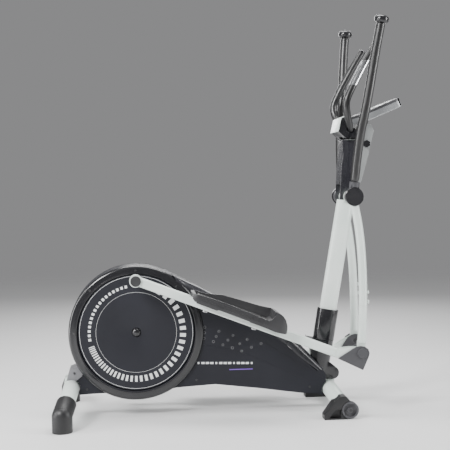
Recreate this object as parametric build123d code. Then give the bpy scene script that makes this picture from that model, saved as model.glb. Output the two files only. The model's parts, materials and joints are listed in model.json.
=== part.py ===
from build123d import *
import math
import os

os.makedirs("parts", exist_ok=True)

# Elliptical cross trainer with a rear crank. All lengths in millimetres.
# +X is forward, towards the console, +Y is the machine's left side, +Z is up.
# Shapes are drawn with X = 0 on the crank axis and moved by SHIFT_X when they are saved.
SHIFT_X = -381.73

# Linkage
CRANK_Z = 344.0
CRANK_R = 216.0
PIVOT_X = 886.0
PIVOT_Z = 879.0
LEVER_LEN = 629.4
ARM_LEN = 953.7
# Widths across the machine, measured from its middle plane
HUB_Y = 118.0
ARM_Y = 160.0
BODY_HALF = 62.0
DRUM_HALF = 76.0
DRUM_R = 272.0
DISC_R = 234.0
# Tubes
LEVER_D = 34.0
ARM_H = 37.0
ARM_W = 30.0
GRIP_D = 36.0
GRIP_BORE = 28.6
HANDLEBAR_D = 25.4
STAB_D = 64.0
# Drive train
PULLEY_R = 150.0
WHEEL_X = 432.0
WHEEL_Z = 292.0
WHEEL_R = 106.0
SMALL_R = 25.0
IDLER_R = 20.0
IDLER_X = 256.0
IDLER_Z = 212.4
SHOE_X = 560.0
SHOE_Z = 204.0
BELT_T = 3.0


def save(shape, name):
    """Writes one shape, or a list of shapes, in its final place."""
    if isinstance(shape, list):
        shape = Compound(children=shape)
    shape = Pos(SHIFT_X, 0, 0) * shape
    export_step(shape, "parts/" + name + ".step")


def flat(points, y0, y1):
    """Plate with an outline in the XZ plane, from y0 to y1."""
    wire = Polyline([(x, y0, z) for x, z in points], close=True)
    return extrude(make_face(wire.edges()), amount=y1 - y0, dir=(0, 1, 0))


def rod(x, z, r, y0, y1):
    """Round bar along Y."""
    return Pos(x, (y0 + y1) / 2, z) * Rot(90, 0, 0) * Cylinder(r, abs(y1 - y0))


def ring(x, z, r_out, r_in, y0, y1):
    """Round bar along Y with a bore."""
    return rod(x, z, r_out, y0, y1) - rod(x, z, r_in, y0 - 1, y1 + 1)


def block(x0, x1, y0, y1, z0, z1):
    return Pos((x0 + x1) / 2, (y0 + y1) / 2, (z0 + z1) / 2) * Box(x1 - x0, y1 - y0, z1 - z0)


def sweep_round(path, r):
    """Round bar along a curve."""
    return sweep(Plane(origin=path @ 0, z_dir=path % 0) * Circle(r), path=path)


def pipe(path, r_out, r_in):
    """Round tube along a curve."""
    return sweep_round(path, r_out) - sweep_round(path, r_in)


def bar_between(p, q, r):
    """Solid round bar from point p to point q."""
    a = Vector(*p)
    d = Vector(*q) - a
    return Plane(origin=a, z_dir=d) * Pos(0, 0, d.length / 2) * Cylinder(r, d.length)


def box_between(p, q, width_y, height):
    """Rectangular bar from p to q in the XZ plane, width_y wide across the machine."""
    dx = q[0] - p[0]
    dz = q[1] - p[1]
    size = math.hypot(dx, dz)
    tilt = -math.degrees(math.atan2(dz, dx))
    middle = Pos((p[0] + q[0]) / 2, 0, (p[1] + q[1]) / 2)
    return middle * Rot(0, tilt, 0) * Box(size, width_y, height)


def left(shape):
    """Twin of a shape on the machine's other side."""
    return mirror(shape, about=Plane.XZ)


def turned(shape, x, z, degrees):
    """Shape turned about an axis along Y through (x, z)."""
    return Pos(x, 0, z) * Rot(0, degrees, 0) * Pos(-x, 0, -z) * shape


def belt_loop(circles, y0, y1):
    """Band round two circles given as (x, z, r)."""
    (xa, za, ra), (xb, zb, rb) = circles
    d = math.hypot(xb - xa, zb - za)
    line = math.atan2(zb - za, xb - xa)
    lean = math.acos((ra - rb) / d)
    corners = []
    for x, z, r, side in ((xa, za, ra, 1), (xb, zb, rb, 1), (xb, zb, rb, -1), (xa, za, ra, -1)):
        a = line + side * lean
        corners.append((x + r * math.cos(a), z + r * math.sin(a)))
    return flat(corners, y0, y1) + rod(xa, za, ra, y0, y1) + rod(xb, zb, rb, y0, y1)


# Where the two levers meet the two pedal arms
def joint_point(pin_x, pin_z):
    """Front joint of the pedal arm whose crank pin stands at (pin_x, pin_z)."""
    dx = PIVOT_X - pin_x
    dz = PIVOT_Z - pin_z
    d = math.hypot(dx, dz)
    a = (ARM_LEN ** 2 - LEVER_LEN ** 2 + d * d) / (2 * d)
    h = math.sqrt(ARM_LEN ** 2 - a * a)
    return pin_x + a * dx / d + h * dz / d, pin_z + a * dz / d - h * dx / d


PIN_R_Z = CRANK_Z + CRANK_R
PIN_L_Z = CRANK_Z - CRANK_R
JOINT_R = joint_point(0, PIN_R_Z)
JOINT_L = joint_point(0, PIN_L_Z)
LEVER_R = math.degrees(math.atan2(JOINT_R[0] - PIVOT_X, PIVOT_Z - JOINT_R[1]))
LEVER_L = math.degrees(math.atan2(JOINT_L[0] - PIVOT_X, PIVOT_Z - JOINT_L[1]))
ARM_R = math.degrees(math.atan2(JOINT_R[1] - PIN_R_Z, JOINT_R[0]))
ARM_L = math.degrees(math.atan2(JOINT_L[1] - PIN_L_Z, JOINT_L[0]))

# ---------------------------------------------------------------- main frame
SPINE = [(-262, 150), (250, 163), (560, 140), (770, 112)]
MAST_DIR = (0.1715, 0.9852)


def on_mast(z, forward=0.0):
    """Point of the mast's centre line at height z, moved forward across the mast."""
    s = (z - 414) / MAST_DIR[1]
    return 800 + s * MAST_DIR[0] + forward * MAST_DIR[1], z - forward * MAST_DIR[0]


def mast_oval(z_low, z_high, long_r, short_r):
    """Oval bar along the mast."""
    p = on_mast(z_low)
    q = on_mast(z_high)
    length = math.hypot(q[0] - p[0], q[1] - p[1])
    tilt = math.degrees(math.atan2(MAST_DIR[0], MAST_DIR[1]))
    return Pos(p[0], 0, p[1]) * Rot(0, tilt, 0) * extrude(Ellipse(long_r, short_r), length)


frame = box_between(SPINE[0], SPINE[1], 40, 46)
frame += box_between(SPINE[1], SPINE[2], 40, 46)
frame += box_between(SPINE[2], SPINE[3], 40, 46)
frame += rod(SPINE[1][0], SPINE[1][1], 23, -20, 20)
frame += rod(SPINE[2][0], SPINE[2][1], 23, -20, 20)
frame += box_between((0, 160), (0, 330), 34, 46)
frame -= rod(0, CRANK_Z, 24, -60, 60)
frame += ring(0, CRANK_Z, 30, 23.5, -38, 38)
frame -= block(-200, 200, -9, 9, CRANK_Z - 160, CRANK_Z + 160)
frame += mast_oval(104, 392, 31.2, 20.2)
frame += flat([(-292, 162), (-240, 162), (-236, 128), (-296, 128)], -32, 32)
frame -= bar_between((-266, -40, 122), (-266, 40, 122), 33.2)
frame += flat([(762, 124), (818, 120), (818, 100), (762, 96)], -26, 26)
frame -= bar_between((794, -40, 86), (794, 40, 86), 33.2)
for side in (-1, 1):
    fork = box_between((WHEEL_X - 40, 160), (WHEEL_X, WHEEL_Z + 14), 6, 40)
    frame += Pos(0, side * 40, 0) * fork
    frame += block(WHEEL_X - 60, WHEEL_X - 24, min(19, side * 43), max(-19, side * 43), 156, 172)
frame -= rod(WHEEL_X, WHEEL_Z, 6.1, -60, 60)
frame += block(244, 268, 12, 18, 170, 222)
frame += rod(IDLER_X, IDLER_Z, 4.5, -9, 18) + rod(IDLER_X, IDLER_Z, 8, -12, -9)
frame += block(SHOE_X - 9, SHOE_X + 9, -12, 6, 150, SHOE_Z + 9) + rod(SHOE_X, SHOE_Z, 4, -12, 34)
save(frame, "main_frame")

bearings = ring(0, CRANK_Z, 23.5, 10.05, -37, -23) + ring(0, CRANK_Z, 23.5, 10.05, 23, 37)
save(bearings, "crank_bearings")

# ---------------------------------------------------------------- mast
mast = mast_oval(396, 862, 36, 26) - mast_oval(395, 863, 33, 23)
mast += mast_oval(300, 398, 36, 26) - mast_oval(299, 399, 31.2, 20.2)
mast += mast_oval(838, 862, 36, 26)
mast += rod(PIVOT_X, PIVOT_Z, 27, -92, 92)
mast += bar_between((PIVOT_X + 2, 0, PIVOT_Z), (918, 0, 1112), 22)
mast -= rod(PIVOT_X, PIVOT_Z, 10, -100, 100)
mast += flat([(890, 1096), (944, 1096), (944, 1116), (890, 1116)], -30, 30)
save(mast, "mast")

axle = rod(PIVOT_X, PIVOT_Z, 10, -133, 133)

# Glossy boot round the foot of the mast, in two pieces with a parting line
boot_upper = mast_oval(286, 411, 44, 36) - mast_oval(285, 412, 36.6, 26.6)
boot_low = mast_oval(150, 284.5, 43, 36) + flat([(706, 300), (756, 300), (800, 170), (745, 150)], -30, 30)
boot_low += flat([(742, 178), (800, 190), (824, 171), (816, 121), (790, 118), (742, 150)], -30, 30)
boot_low += rod(812, 147, 26, -30, 30)
boot_low -= mast_oval(284.5, 420, 80, 60)
boot_low -= mast_oval(90, 300, 36.6, 26.6)
boot_low -= block(600, 900, -24.5, 24.5, 60, 137)
boot_low -= bar_between((794, -90, 86), (794, 90, 86), 36)

# ---------------------------------------------------------------- housing
TOP = [(0, 613), (121, 586), (181, 556), (263, 516), (324, 484), (447, 431), (613, 322), (675, 268), (742, 196)]
BOTTOM = [(776, 66), (671, 74), (504, 98), (318, 121), (158, 112), (0, 75)]


def body_face(inset):
    top = [(x, z - inset) for x, z in TOP]
    bottom = [(x, z + inset) for x, z in BOTTOM]
    nose = [(775 - inset, 150)]
    return top + nose + bottom


def wide_body(inset, half):
    shape = flat(body_face(inset), -half, half)
    return shape + rod(0, CRANK_Z - 3, DRUM_R - inset, -half, half)


tail = flat([(-236, 210), (-196, 240), (-90, 120), (-120, 96), (-232, 92), (-246, 130)], -46, 46)
shell = wide_body(0, BODY_HALF) + rod(0, CRANK_Z - 3, DRUM_R, -DRUM_HALF, DRUM_HALF)
rims = []
for edge in shell.edges().filter_by(GeomType.CIRCLE):
    if abs(abs(edge.center().Y) - DRUM_HALF) < 0.1:
        rims.append(edge)
shell = fillet(rims, 13)
shell += tail
hollow = wide_body(3.2, BODY_HALF - 3.2) + rod(0, CRANK_Z - 3, DRUM_R - 3.2, -DRUM_HALF + 14, DRUM_HALF - 14)
hollow += flat([(-234, 206), (-198, 234), (-94, 122), (-122, 99), (-229, 95)], -43, 43)
shell -= hollow
for side in (-1, 1):
    shell += rod(0, CRANK_Z, DISC_R + 7, side * 43, side * 68)
    shell -= rod(0, CRANK_Z, DISC_R + 4, side * 46, side * 90)
    shell -= rod(0, CRANK_Z, 34, side * 30, side * 60)
# the stabiliser, spine and mast pass through the shell
shell -= box_between((-300, 149), (-200, 151.6), 41.2, 47.2)
shell -= bar_between((-266, -90, 122), (-266, 90, 122), 36)
shell -= flat([(-300, 178), (-232, 178), (-228, 100), (-300, 100)], -33, 33)
shell -= bar_between((794, -90, 86), (794, 90, 86), 36)
shell -= mast_oval(90, 420, 45, 38)
shell -= flat([(700, 320), (760, 320), (804, 170), (850, 160), (850, 96), (741, 106), (741, 150)], -33, 33)
SHROUD = [(-10, 640), (200, 640), (800, 300), (800, 166), (738, 164), (663, 226), (600, 284), (437, 394), (312, 448),
          (196, 505), (176, 528), (168, 545), (150, 572)]
crown = flat([(150, 700)] + SHROUD[1:], -80, 80)
shroud = shell & crown
shell -= flat([(149.6, 700), (200, 700), (801, 300), (801, 165.6), (737.8, 163.6), (662.8, 225.6), (599.8, 283.6),
               (436.8, 393.6), (311.8, 447.6), (195.7, 504.6), (175.6, 527.8), (167.6, 544.8), (149.6, 571.8)],
              -90, 90)
right_half = shell & block(-400, 900, -100, -0.15, 0, 800)
left_half = shell & block(-400, 900, 0.15, 100, 0, 800)
SEAMS = [((485, 313), (770, 129)), ((268, 286), (395, 259)), ((395, 259), (499, 219)), ((499, 219), (758, 96))]
SCREW_SPOTS = [(0, 594, 76), (-184, 518, 76), (-250, 346, 76), (164, 527, 76), (241, 140, 62), (708, 98, 62), (-203, 113, 46)]
SADDLE_SCREW = (-252, 181, 50)
for side, half, name in ((-1, right_half, "housing_right"), (1, left_half, "housing_left")):
    for col in range(5):
        for row in range(3):
            x = 278 + col * 57.5 - row * (2 + col * 9.5)
            z = 356 - col * 18.5 - row * (23 - col * 2.2)
            half -= rod(x, z, 4, side * 55, side * 70)
    for start, end in SEAMS:
        half -= Pos(0, side * 62.5, 0) * box_between(start, end, 3, 1.6)
    for x, z, y in SCREW_SPOTS:
        half -= rod(x, z, 2.2, side * (y - 8), side * (y + 4))
    save(half, name)
save(shroud, "housing_top_shroud")
screws = []
for side in (-1, 1):
    for x, z, y in SCREW_SPOTS + [SADDLE_SCREW]:
        head = rod(x, z, 4.4, side * y, side * (y + 2.4)) + rod(x, z, 1.9, side * (y - 3), side * (y + 0.5))
        head -= rod(x, z, 1.5, side * (y + 1), side * (y + 4))
        screws.append(head)
save(screws, "housing_screws")
boot_low -= shell
boot_low -= shroud
boot_low -= frame
boot_low = max(boot_low.solids(), key=lambda s: s.volume)
save([boot_upper, boot_low], "mast_boot")

# ---------------------------------------------------------------- stabilisers
rear_path = Spline((-288, -292, 62), (-270, -170, 108), (-266, 0, 122), (-270, 170, 108), (-288, 292, 62))
rear_tube = pipe(rear_path, STAB_D / 2, STAB_D / 2 - 3)
front_path = Spline((808, -212, 54), (797, -110, 78), (794, 0, 86), (797, 110, 78), (808, 212, 54))
front_tube = pipe(front_path, STAB_D / 2, STAB_D / 2 - 3)

# Grey cover over the rear end of the beam
saddle = flat([(-272, 196), (-203, 222), (-222, 168), (-244, 150), (-284, 152)], -50, 50)
saddle -= flat([(-260, 190), (-214, 207), (-230, 172), (-234, 130), (-262, 130), (-300, 160), (-270, 178)], -46.5, 46.5)
saddle -= shell
saddle -= shroud
saddle -= frame
saddle -= sweep_round(rear_path, STAB_D / 2 + 0.15)
saddle -= rod(SADDLE_SCREW[0], SADDLE_SCREW[1], 2.2, -60, 60)
saddle = max(saddle.solids(), key=lambda s: s.volume)
save(saddle, "rear_saddle_cover")

# Rear feet: tall rounded boots that stand on a flat sole
foot = bar_between(rear_path @ 0.13, rear_path @ 0.0, 39)
for y in (-276, -290):
    foot += Pos(-288, y, 62) * Sphere(39)
foot += bar_between((-288, -276, 62), (-288, -290, 62), 39)
foot += extrude(Pos(-288, -283, 0) * SlotOverall(92, 78, rotation=90), 62)
foot -= sweep_round(rear_path, STAB_D / 2 + 0.15)
foot = max(foot.solids(), key=lambda s: s.volume)

# Front feet: ribbed wedge-shaped caps that carry the transport wheels
ff = flat([(734, 0), (826, 0), (848, 30), (846, 62), (822, 92), (800, 92), (772, 70), (734, 18)], -246, -190)
ff -= flat([(752, 6), (800, 6), (800, 40), (776, 40)], -260, -228)
ff = fillet(ff.edges().filter_by(Axis.Y).sort_by(Axis.Z)[-3:], 12)
ff -= sweep_round(front_path, STAB_D / 2 + 0.15)
ff -= rod(838, 36, 36.5, -250, -222)
ff -= rod(838, 36, 4.1, -260, -180)
ff = max(ff.solids(), key=lambda s: s.volume)
save([foot, left(foot), ff, left(ff)], "feet")
wheel = ring(838, 36, 34, 26.5, -245, -225) + ring(838, 36, 10.5, 4.05, -246, -223.5)
wheel += ring(838, 36, 27, 10, -236, -233)
for k in range(5):
    spoke = turned(block(838 + 9, 838 + 28, -238, -232, 34, 38), 838, 36, k * 72 + 20)
    wheel += spoke
save(wheel, "transport_wheel_right")
save(left(wheel), "transport_wheel_left")
wheel_pin = rod(838, 36, 4, -247, -196) + rod(838, 36, 7, -250, -246.3)

stab_bolts = []
for x, z, path in ((-266, 90, rear_path), (794, 54, front_path)):
    for y in (-22, 22):
        head = Pos(x, y, z) * Cylinder(8, 10)
        head -= sweep_round(path, STAB_D / 2)
        stab_bolts.append(min(head.solids(), key=lambda s: s.center().Z))
save([rear_tube, front_tube] + stab_bolts, "stabilisers")

# ---------------------------------------------------------------- crank set
crank_axle = rod(0, CRANK_Z, 10, -50, 50)
arm = flat([(-24, CRANK_Z), (-17, CRANK_Z + CRANK_R), (17, CRANK_Z + CRANK_R), (24, CRANK_Z)], -62, -51)
arm += rod(0, CRANK_Z, 30, -62, -51) + rod(0, CRANK_Z + CRANK_R, 19, -139.5, -51)
arm += rod(0, CRANK_Z, 22, -51, -40)
arm -= rod(0, CRANK_Z, 10, -52, -38)
arm_left = turned(left(arm), 0, CRANK_Z, 180)
save([crank_axle, arm, arm_left], "crank_set")
disc = rod(0, CRANK_Z, DISC_R, -75, -70)
disc += ring(0, CRANK_Z, DISC_R, DISC_R - 4, -75, -64)
disc += ring(0, CRANK_Z, 28, 16, -70, -62.2)
disc -= rod(0, CRANK_Z + CRANK_R, 19.4, -80, -60)
disc -= ring(0, CRANK_Z, DISC_R - 64, DISC_R - 66, -76, -74)
disc -= rod(0, CRANK_Z, 17, -80, -69)
cap = rod(0, CRANK_Z, 16.8, -78, -69.5)
cap = fillet(cap.edges().sort_by(Axis.Y)[:1], 6)
cap += rod(0, CRANK_Z, 9, -70, -62.1)
save([disc, turned(left(disc), 0, CRANK_Z, 180), cap, left(cap)], "crank_discs")

pulley = rod(0, CRANK_Z, PULLEY_R, -7, 7) - rod(0, CRANK_Z, PULLEY_R - 12, -8, -2.5)
pulley -= rod(0, CRANK_Z, PULLEY_R - 12, 2.5, 8)
for k in range(6):
    a = math.radians(60 * k)
    pulley -= rod(92 * math.cos(a), CRANK_Z + 92 * math.sin(a), 26, -10, 10)
pulley += rod(0, CRANK_Z, 26, -8.5, 8.5)
pulley -= rod(0, CRANK_Z, 10, -20, 20)
save(pulley, "drive_pulley")

# ---------------------------------------------------------------- flywheel and brake
wheel = rod(WHEEL_X, WHEEL_Z, WHEEL_R, 8.5, 32) - rod(WHEEL_X, WHEEL_Z, WHEEL_R - 20, 23, 40)
wheel += rod(WHEEL_X, WHEEL_Z, SMALL_R, -7, 10) + rod(WHEEL_X, WHEEL_Z, 16, 20, 33)
wheel += ring(WHEEL_X, WHEEL_Z, SMALL_R + 2.5, SMALL_R - 2, -9, -7)
wheel -= rod(WHEEL_X, WHEEL_Z, 6.05, -40, 60)
save(wheel, "flywheel")
wheel_axle = rod(WHEEL_X, WHEEL_Z, 6, -50, 50)
wheel_axle += rod(WHEEL_X, WHEEL_Z, 10, -50, -43.2) + rod(WHEEL_X, WHEEL_Z, 10, 43.2, 50)
save([axle, wheel_axle, wheel_pin, left(wheel_pin)], "fixed_axles")

big = (0, CRANK_Z, PULLEY_R + 0.1)
small = (WHEEL_X, WHEEL_Z, SMALL_R + 0.1)
big_out = (0, CRANK_Z, PULLEY_R + BELT_T)
small_out = (WHEEL_X, WHEEL_Z, SMALL_R + BELT_T)
belt = belt_loop((big_out, small_out), -6, 6) - belt_loop((big, small), -8, 8)
save(belt, "drive_belt")

idler = ring(IDLER_X, IDLER_Z, IDLER_R, 4.55, -8, 8)
save(idler, "belt_idler")

# Brake shoe with magnets, swung towards the flywheel's rim by a small gear motor
shoe = ring(WHEEL_X, WHEEL_Z, WHEEL_R + 16, WHEEL_R + 9, 10, 32)
shoe = shoe & flat([(WHEEL_X, WHEEL_Z), (700, 330), (700, 210), (560, 160)], 5, 40)
shoe += flat([(540, 216), (552, 224), (566, 214), (566, 198), (552, 196)], 10, 32)
shoe += ring(SHOE_X, SHOE_Z, 10, 4.05, 10, 32)
shoe -= rod(SHOE_X, SHOE_Z, 4.05, 0, 40)
shoe -= rod(WHEEL_X, WHEEL_Z, WHEEL_R + 9, 0, 40)
magnets = []
for deg in (-26, -10, 6):
    m = block(WHEEL_X + WHEEL_R + 4, WHEEL_X + WHEEL_R + 9.2, 12, 30, WHEEL_Z - 9, WHEEL_Z + 9)
    magnets.append(turned(m, WHEEL_X, WHEEL_Z, -deg) - rod(WHEEL_X, WHEEL_Z, WHEEL_R + 3, 0, 50) - shoe)
save([shoe] + magnets, "brake_shoe")
motor = block(590, 650, -24, 20, 152, 196) + rod(606, 178, 13, 20, 30)
motor -= frame
save(motor, "brake_motor")

# ---------------------------------------------------------------- swing levers
HUB_IN = 95
HUB_OUT = 131
SEAM_Z = 440
low_path = Spline((889, -118, 848), (908, -130, 718), (915, -142, 563), (913, -152, 437), (904, -160, 290))
high_path = Spline((888, -119, 905), (892, -127, 965), (898, -140, 1040), (909, -160, 1140), (925, -178, 1230),
                   (939, -190, 1317), (951, -200, 1396), (963, -211, 1475), (978, -222, 1562))
tube_low = pipe(low_path, LEVER_D / 2, LEVER_D / 2 - 2.5)
hub = rod(PIVOT_X, PIVOT_Z, 34, -HUB_OUT, -HUB_IN)
solid_low = sweep_round(low_path, LEVER_D / 2)
lever_up = (tube_low & block(800, 1000, -250, 0, SEAM_Z + 0.4, 900)) - rod(PIVOT_X, PIVOT_Z, 33, -200, 0)
lever_up += hub
collar_a = high_path @ 0.0
collar_b = high_path @ 0.05
lever_up += bar_between(collar_a - (collar_b - collar_a) * 0.6, collar_b, 21)
lever_up -= sweep_round(high_path, GRIP_BORE / 2)
lever_up -= rod(PIVOT_X, PIVOT_Z, 10.06, -200, 0) + rod(PIVOT_X, PIVOT_Z, 38.4, -200, -131)
lever_up = max(lever_up.solids(), key=lambda s: s.volume)
eye = rod(JOINT_R[0], JOINT_R[1], 22, -171, -149)
tongue = flat([(JOINT_R[0] - 16, JOINT_R[1]), (JOINT_R[0] - 14, 300), (JOINT_R[0] + 16, 300),
               (JOINT_R[0] + 16, JOINT_R[1])], -171, -149)
lever_low = tube_low & block(800, 1000, -250, 0, 284, SEAM_Z - 0.4)
lever_low += solid_low & block(800, 1000, -250, 0, 284, 296)
lever_low += pipe(low_path, LEVER_D / 2 - 2.6, LEVER_D / 2 - 5) & block(800, 1000, -250, 0, 380, 520)
lever_low += tongue + eye
lever_low -= rod(JOINT_R[0], JOINT_R[1], 10.06, -300, 0)
lever_bolts = []
for z in (454, 493):
    y = -148.9 + (z - 470) * 0.08
    shank = Pos(922, y, z) * Rot(0, 90, 0) * Cylinder(4, 24)
    lever_low -= Pos(925, y, z) * Rot(0, 90, 0) * Cylinder(4.3, 34)
    lever_up -= Pos(925, y, z) * Rot(0, 90, 0) * Cylinder(4.3, 34)
    lever_bolts.append(shank + Pos(935.2, y, z) * Rot(0, 90, 0) * Cylinder(7, 5.2))
handle = pipe(high_path, GRIP_BORE / 2, GRIP_BORE / 2 - 2)
handle -= rod(PIVOT_X, PIVOT_Z, 34, -200, 0) + rod(PIVOT_X, PIVOT_Z, 38.4, -200, -131)
handle = max(handle.solids(), key=lambda s: s.volume)
grip = pipe(high_path, GRIP_D / 2, GRIP_BORE / 2 + 0.1) & block(700, 1200, -400, 0, 944, 1700)
grip = max(grip.solids(), key=lambda s: s.volume)
top = high_path @ 1.0
top_dir = high_path % 1.0
end_cap = Plane(origin=top, z_dir=top_dir) * Pos(0, 0, 15.2) * Cylinder(29, 30)
end_cap = fillet(end_cap.edges(), 14)
end_cap += Plane(origin=top, z_dir=top_dir) * Pos(0, 0, -4) * Cylinder(GRIP_BORE / 2 - 2.6, 12)
end_cap -= handle
end_cap = max(end_cap.solids(), key=lambda s: s.volume)
hub_cap = rod(PIVOT_X, PIVOT_Z, 38, -141, -131.3) - rod(PIVOT_X, PIVOT_Z, 11, -134, -131)
hub_cap = fillet(hub_cap.edges().sort_by(Axis.Y)[:1], 3)


def to_left_lever(shape):
    return turned(left(shape), PIVOT_X, PIVOT_Z, LEVER_R - LEVER_L)


for name, pieces in (("lever_upper", [lever_up]), ("lever_lower", [lever_low] + lever_bolts), ("handle", [handle]),
                     ("grip", [grip]), ("lever_caps", [end_cap, hub_cap])):
    save(pieces, "right_" + name)
    save([to_left_lever(piece) for piece in pieces], "left_" + name)

# ---------------------------------------------------------------- pedal arms
# Drawn with the crank pin at the origin and +X towards the front joint.
A_IN = ARM_Y - ARM_W / 2
A_OUT = ARM_Y + ARM_W / 2
TUBE_A = (8, 1.7)
TUBE_B = (886, -31.5)


def local_bar(p, q, half_w, height):
    return Pos(0, -ARM_Y, 0) * box_between(p, q, 2 * half_w, height)


arm_tube = local_bar(TUBE_A, TUBE_B, ARM_W / 2, ARM_H)
long_edges = arm_tube.edges().sort_by(SortBy.LENGTH)[-4:]
arm_tube = fillet(long_edges, 7)
arm_tube -= local_bar(TUBE_A, TUBE_B, ARM_W / 2 - 2.5, ARM_H - 5)
arm_tube += rod(0, 0, 25, -178, -141)
fork_out = [(852, -46), (852, -14), (900, 8), (944, 21), (953.7, 23), (972, 14), (977, 0), (972, -14), (953.7, -23),
            (905, -48)]
arm_tube += flat(fork_out, -177.5, -172.5) + flat(fork_out, -147.5, -142.5)
arm_tube -= rod(0, 0, 17, -200, -100)
arm_tube -= rod(ARM_LEN, 0, 10, -200, -100)
pin_bearing = ring(0, 0, 17, 8, -177, -142)
pin_bolt = rod(0, 0, 8, -179, -141.5) + rod(0, 0, 13, -181, -178.2)
pin_cap = rod(0, 0, 21, -186, -181.5) + ring(0, 0, 21, 18, -182, -178.3)
pin_cap = fillet(pin_cap.edges().sort_by(Axis.Y)[:1], 2.5)
joint_pin = rod(ARM_LEN, 0, 10, -182, -138)
joint_cap = rod(ARM_LEN, 0, 20, -190, -184.3)
joint_cap = fillet(joint_cap.edges().sort_by(Axis.Y)[:1], 3)
cover_shape = [(866, -49), (922, 19), (940, 27), (956, 29), (972, 24), (982, 10), (983, -6), (978, -63)]
cover_out = flat(cover_shape, -184, -178)
cover_in = flat(cover_shape, -142, -137)
cover_out -= rod(ARM_LEN, 0, 10.2, -183, -177)
cover_in -= rod(ARM_LEN, 0, 10.2, -200, -100)

# Pedal: a long tray with a raised toe, held by two saddles over the arm
PED_Y = 172
PED_HALF = 76
PED_OUT = -PED_Y - PED_HALF
PED_IN = -PED_Y + PED_HALF
tray = flat([(221, 14), (222, 28), (232, 31), (286, 33), (313, 39), (356, 48), (421, 50), (513, 52), (556, 57),
             (577, 55.5), (591, 50), (605, 39), (618, 21), (626, 3), (629, -8), (627, -15), (579, -18), (472, -9),
             (345, -3), (241, 1)], PED_OUT, PED_IN)
plan = extrude(Pos(421.5, -PED_Y, -40) * RectangleRounded(416, 2 * PED_HALF, 40), 120)
tray = tray & plan
# footbed, with a lower wall on the outer side
tray -= flat([(236, 21.1), (546, 11.6), (560, 24), (556, 90), (236, 90)], PED_OUT + 8, PED_IN - 8)
tray -= flat([(200, 90), (200, 27), (232, 31), (300, 32.5), (342, 32), (410, 28), (541, 17), (550, 24), (562, 44),
              (566, 90)], PED_OUT - 1, PED_OUT + 9)
# hollow underside between the two skirts, open over the arm
tray -= flat([(200, -60), (200, 16.5), (612, 0.9), (612, -60)], PED_OUT + 8, PED_IN - 8)
tray -= local_bar(TUBE_A, TUBE_B, ARM_W / 2 + 1.5, ARM_H + 3)
tray = max(tray.solids(), key=lambda s: s.volume)
mat = flat([(250, 20.75), (540, 11.85), (540, 16.35), (250, 25.25)], PED_OUT + 11, PED_IN - 11)
saddles = []
for x0, x1 in ((254, 350), (482, 584)):
    top_z = 1.7 - 0.0378 * (x0 - 8) + ARM_H / 2
    tray_z = 15.4 - 0.03763 * (x0 - 228)
    body = flat([(x0, top_z - 20), (x1 - 8, top_z - 24), (x1, top_z - 16), (x1, tray_z - 0.03763 * (x1 - x0)),
                 (x0, tray_z)], -A_OUT - 6, -A_IN + 6)
    body -= local_bar(TUBE_A, TUBE_B, ARM_W / 2 + 0.15, ARM_H + 0.3)
    body -= tray
    saddles.append(max(body.solids(), key=lambda s: s.volume))
pedal_nuts = []
for x in (300, 507):
    z_low = 1.7 - 0.0378 * (x - 8) - ARM_H / 2
    for dy in (-7, 7):
        nut = Pos(x + dy * 0.6, -ARM_Y + dy * 0.5, z_low - 3.9) * Cylinder(5.6, 7)
        pedal_nuts.append(nut)


def place_right(shape):
    return Pos(0, 0, PIN_R_Z) * Rot(0, -ARM_R, 0) * shape


def place_left(shape):
    return Pos(0, 0, PIN_L_Z) * Rot(0, -ARM_L, 0) * left(shape)


for name, pieces in (("pedal_arm", [arm_tube]), ("arm_pins", [pin_bearing, pin_bolt, joint_pin]),
                     ("joint_covers", [cover_out, cover_in, joint_cap, pin_cap]), ("pedal", [tray]),
                     ("pedal_mat", [mat]), ("pedal_fixings", saddles + pedal_nuts)):
    save([place_right(piece) for piece in pieces], "right_" + name)
    save([place_left(piece) for piece in pieces], "left_" + name)

# ---------------------------------------------------------------- handlebar
BAR = [(895, 40, 1142), (884, 78, 1160), (863, 118, 1215), (858, 131, 1262), (878, 129, 1312), (912, 124, 1376),
       (946, 119, 1436), (980, 115, 1492)]
BAR_R = 11
FOAM_R = 14
bar_path = Spline([(x, -y, z) for x, y, z in reversed(BAR)] + [(895, 0, 1141)] + BAR)
bar = pipe(bar_path, BAR_R, BAR_R - 1.8)
save(bar, "handlebar")
foam = pipe(bar_path, FOAM_R, BAR_R + 0.1)
foam = foam & block(600, 1200, -300, -80, 1000, 1700)
outer_side = Polyline([(-128.5, 1322), (-119.5, 1436), (-200, 1436), (-200, 1322)], close=True)
outer_side = extrude(make_face(Plane.YZ.offset(700) * outer_side), amount=500, dir=(1, 0, 0))
sensor = (pipe(bar_path, FOAM_R + 1.5, FOAM_R + 0.1) & outer_side) & block(600, 1200, -300, -80, 1327, 1427)
sensor = max(sensor.solids(), key=lambda s: s.volume)
end = bar_path @ 0.0
end_dir = (bar_path % 0.0) * -1
plug = Plane(origin=end, z_dir=end_dir) * Pos(0, 0, 3.2) * Cylinder(FOAM_R, 6)
plug = fillet(plug.edges().sort_by(Axis.Z)[-1:], 3)
plug += Plane(origin=end, z_dir=end_dir) * Pos(0, 0, -5) * Cylinder(BAR_R - 1.9, 12)
save([foam, plug, left(foam), left(plug)], "handlebar_grips")
save([sensor, left(sensor)], "pulse_sensors")

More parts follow.
